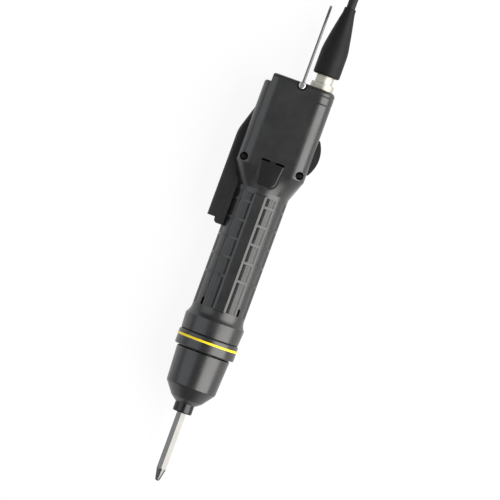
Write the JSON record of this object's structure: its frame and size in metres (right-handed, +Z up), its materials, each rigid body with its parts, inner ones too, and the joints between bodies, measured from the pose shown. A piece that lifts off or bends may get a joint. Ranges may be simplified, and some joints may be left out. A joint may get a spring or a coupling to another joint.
{
  "type": "electric screwdriver",
  "caption": "Corded in-line electric screwdriver with lever start, direction rocker, torque ring, quick-change chuck, hanging bail and plug-in supply lead.",
  "frame": {"origin": "middle of the flat back of the housing, on the bench that the tool lies on", "axes": "+Y along the tool from the bit towards the cord, +Z up out of the front panel, +X towards the rocker"},
  "size_m": [0.0738, 0.5671, 0.042],
  "materials": {
    "case_plastic": "fine moulded texture",
    "black_plastic": "satin black",
    "window_plastic": "dark translucent",
    "marker_plastic": "yellow",
    "nose_plastic": "satin",
    "blackened_steel": "black oxide",
    "steel": "ground",
    "bright_steel": "polished",
    "nickel": "satin nickel",
    "aluminium": "as turned",
    "sintered_steel": "sintered",
    "magnet": "plated",
    "copper": "enamelled wire",
    "board": "solder mask",
    "insulator": "moulded",
    "boot_rubber": "soft",
    "cord_rubber": "soft",
    "spring_steel": "drawn wire"
  },
  "bodies": {
    "case": {"front_shell": "case_plastic", "rear_shell": "case_plastic", "case_screws": "blackened_steel", "status_window": "window_plastic", "collar_ring": "nose_plastic", "marker_band": "marker_plastic", "gear_case": "aluminium", "clutch_balls": "bright_steel", "thrust_washer": "steel", "clutch_spring": "spring_steel", "spindle_bearing": "steel", "retaining_rings": "spring_steel", "ring_gear": "sintered_steel", "stator_core": "sintered_steel", "stator_coils": "copper", "motor_can": "steel", "motor_front_plate": "aluminium", "motor_rear_cap": "aluminium", "motor_bearings": "steel", "control_board": "board", "board_components": "insulator", "rocker_base": "insulator", "bail_screws": "steel", "lever_pin": "steel", "rocker_pin": "steel", "lever_spring": "spring_steel", "socket_shell": "nickel", "socket_nut": "nickel", "socket_insert": "insulator", "plug_shell": "nickel", "plug_insert": "insulator", "plug_boot": "boot_rubber", "far_plug_shell": "nickel", "far_plug_insert": "insulator", "far_plug_boot": "boot_rubber", "cord_lead": "cord_rubber", "cord_coil": "cord_rubber", "cord_tail": "cord_rubber"},
    "torque_ring": {"torque_sleeve": "nose_plastic"},
    "torque_nut": {"torque_nut": "sintered_steel"},
    "rotor": {"rotor_shaft": "steel", "rotor_magnet": "magnet"},
    "input_carrier": {"input_carrier": "sintered_steel"},
    "spindle": {"spindle": "steel", "bit": "bright_steel", "bit_ball": "bright_steel", "spindle_rings": "spring_steel", "collet_spring": "spring_steel"},
    "collet": {"collet_sleeve": "blackened_steel"},
    "lever": {"lever": "black_plastic"},
    "rocker": {"rocker": "black_plastic"},
    "bail": {"bail": "bright_steel"},
    "output_planet_1": {"output_planet_1": "sintered_steel"},
    "output_planet_2": {"output_planet_2": "sintered_steel"},
    "output_planet_3": {"output_planet_3": "sintered_steel"},
    "input_planet_1": {"input_planet_1": "sintered_steel"},
    "input_planet_2": {"input_planet_2": "sintered_steel"},
    "input_planet_3": {"input_planet_3": "sintered_steel"}
  },
  "joints": [
    {"name": "motor_spin", "type": "hinge", "parent": "case", "child": "rotor", "pos_m": [0, -0.10165, 0.021], "axis": [0, 1, 0], "continuous": true},
    {"name": "input_carrier_spin", "type": "hinge", "parent": "case", "child": "input_carrier", "pos_m": [0, -0.14715, 0.021], "axis": [0, 1, 0], "continuous": true},
    {"name": "spindle_spin", "type": "hinge", "parent": "case", "child": "spindle", "pos_m": [0, -0.18565, 0.021], "axis": [0, 1, 0], "continuous": true},
    {"name": "input_planet_1_spin", "type": "hinge", "parent": "input_carrier", "child": "input_planet_1", "pos_m": [0.0081, -0.1429, 0.021], "axis": [0, 1, 0], "continuous": true},
    {"name": "input_planet_2_spin", "type": "hinge", "parent": "input_carrier", "child": "input_planet_2", "pos_m": [-0.00405, -0.1429, 0.01399], "axis": [0, 1, 0], "continuous": true},
    {"name": "input_planet_3_spin", "type": "hinge", "parent": "input_carrier", "child": "input_planet_3", "pos_m": [-0.00405, -0.1429, 0.02801], "axis": [0, 1, 0], "continuous": true},
    {"name": "output_planet_1_spin", "type": "hinge", "parent": "spindle", "child": "output_planet_1", "pos_m": [0.0081, -0.1524, 0.021], "axis": [0, 1, 0], "continuous": true},
    {"name": "output_planet_2_spin", "type": "hinge", "parent": "spindle", "child": "output_planet_2", "pos_m": [-0.00405, -0.1524, 0.01399], "axis": [0, 1, 0], "continuous": true},
    {"name": "output_planet_3_spin", "type": "hinge", "parent": "spindle", "child": "output_planet_3", "pos_m": [-0.00405, -0.1524, 0.02801], "axis": [0, 1, 0], "continuous": true},
    {"name": "torque_turn", "type": "hinge", "parent": "case", "child": "torque_ring", "pos_m": [0, -0.17365, 0.021], "axis": [0, 1, 0], "range_deg": [0, 300]},
    {"name": "torque_nut_travel", "type": "slide", "parent": "torque_ring", "child": "torque_nut", "axis": [0, 1, 0], "range_m": [0, 0.0033], "deforming": ["clutch_spring"]},
    {"name": "collet_slide", "type": "slide", "parent": "spindle", "child": "collet", "axis": [0, 1, 0], "range_m": [0, 0.0025], "stiffness_N_per_m": 400, "springref_m": -0.004, "deforming": ["collet_spring"]},
    {"name": "lever_press", "type": "hinge", "parent": "case", "child": "lever", "pos_m": [-0.0174, 0.00155, 0.021], "axis": [0, 0, 1], "range_deg": [0, 2.4], "stiffness_Nm_per_rad": 4, "springref_deg": -3.44, "deforming": ["lever_spring"]},
    {"name": "rocker_tilt", "type": "hinge", "parent": "case", "child": "rocker", "pos_m": [0.0175, -0.01325, 0.021], "axis": [0, 0, 1], "range_deg": [-5, 5]},
    {"name": "bail_swing", "type": "hinge", "parent": "case", "child": "bail", "pos_m": [0.0007, 0.02905, 0.021], "axis": [0, 0, 1], "range_deg": [-4, 40]}
  ],
  "couplings": [
    {"joint": "input_carrier_spin", "follows": "motor_spin", "ratio": 0.22222},
    {"joint": "spindle_spin", "follows": "motor_spin", "ratio": 0.049383},
    {"joint": "input_planet_1_spin", "follows": "motor_spin", "ratio": -0.62222},
    {"joint": "input_planet_2_spin", "follows": "motor_spin", "ratio": -0.62222},
    {"joint": "input_planet_3_spin", "follows": "motor_spin", "ratio": -0.62222},
    {"joint": "output_planet_1_spin", "follows": "motor_spin", "ratio": -0.13827},
    {"joint": "output_planet_2_spin", "follows": "motor_spin", "ratio": -0.13827},
    {"joint": "output_planet_3_spin", "follows": "motor_spin", "ratio": -0.13827},
    {"joint": "torque_nut_travel", "follows": "torque_turn", "m_per_rad": 0.00062962}
  ]
}
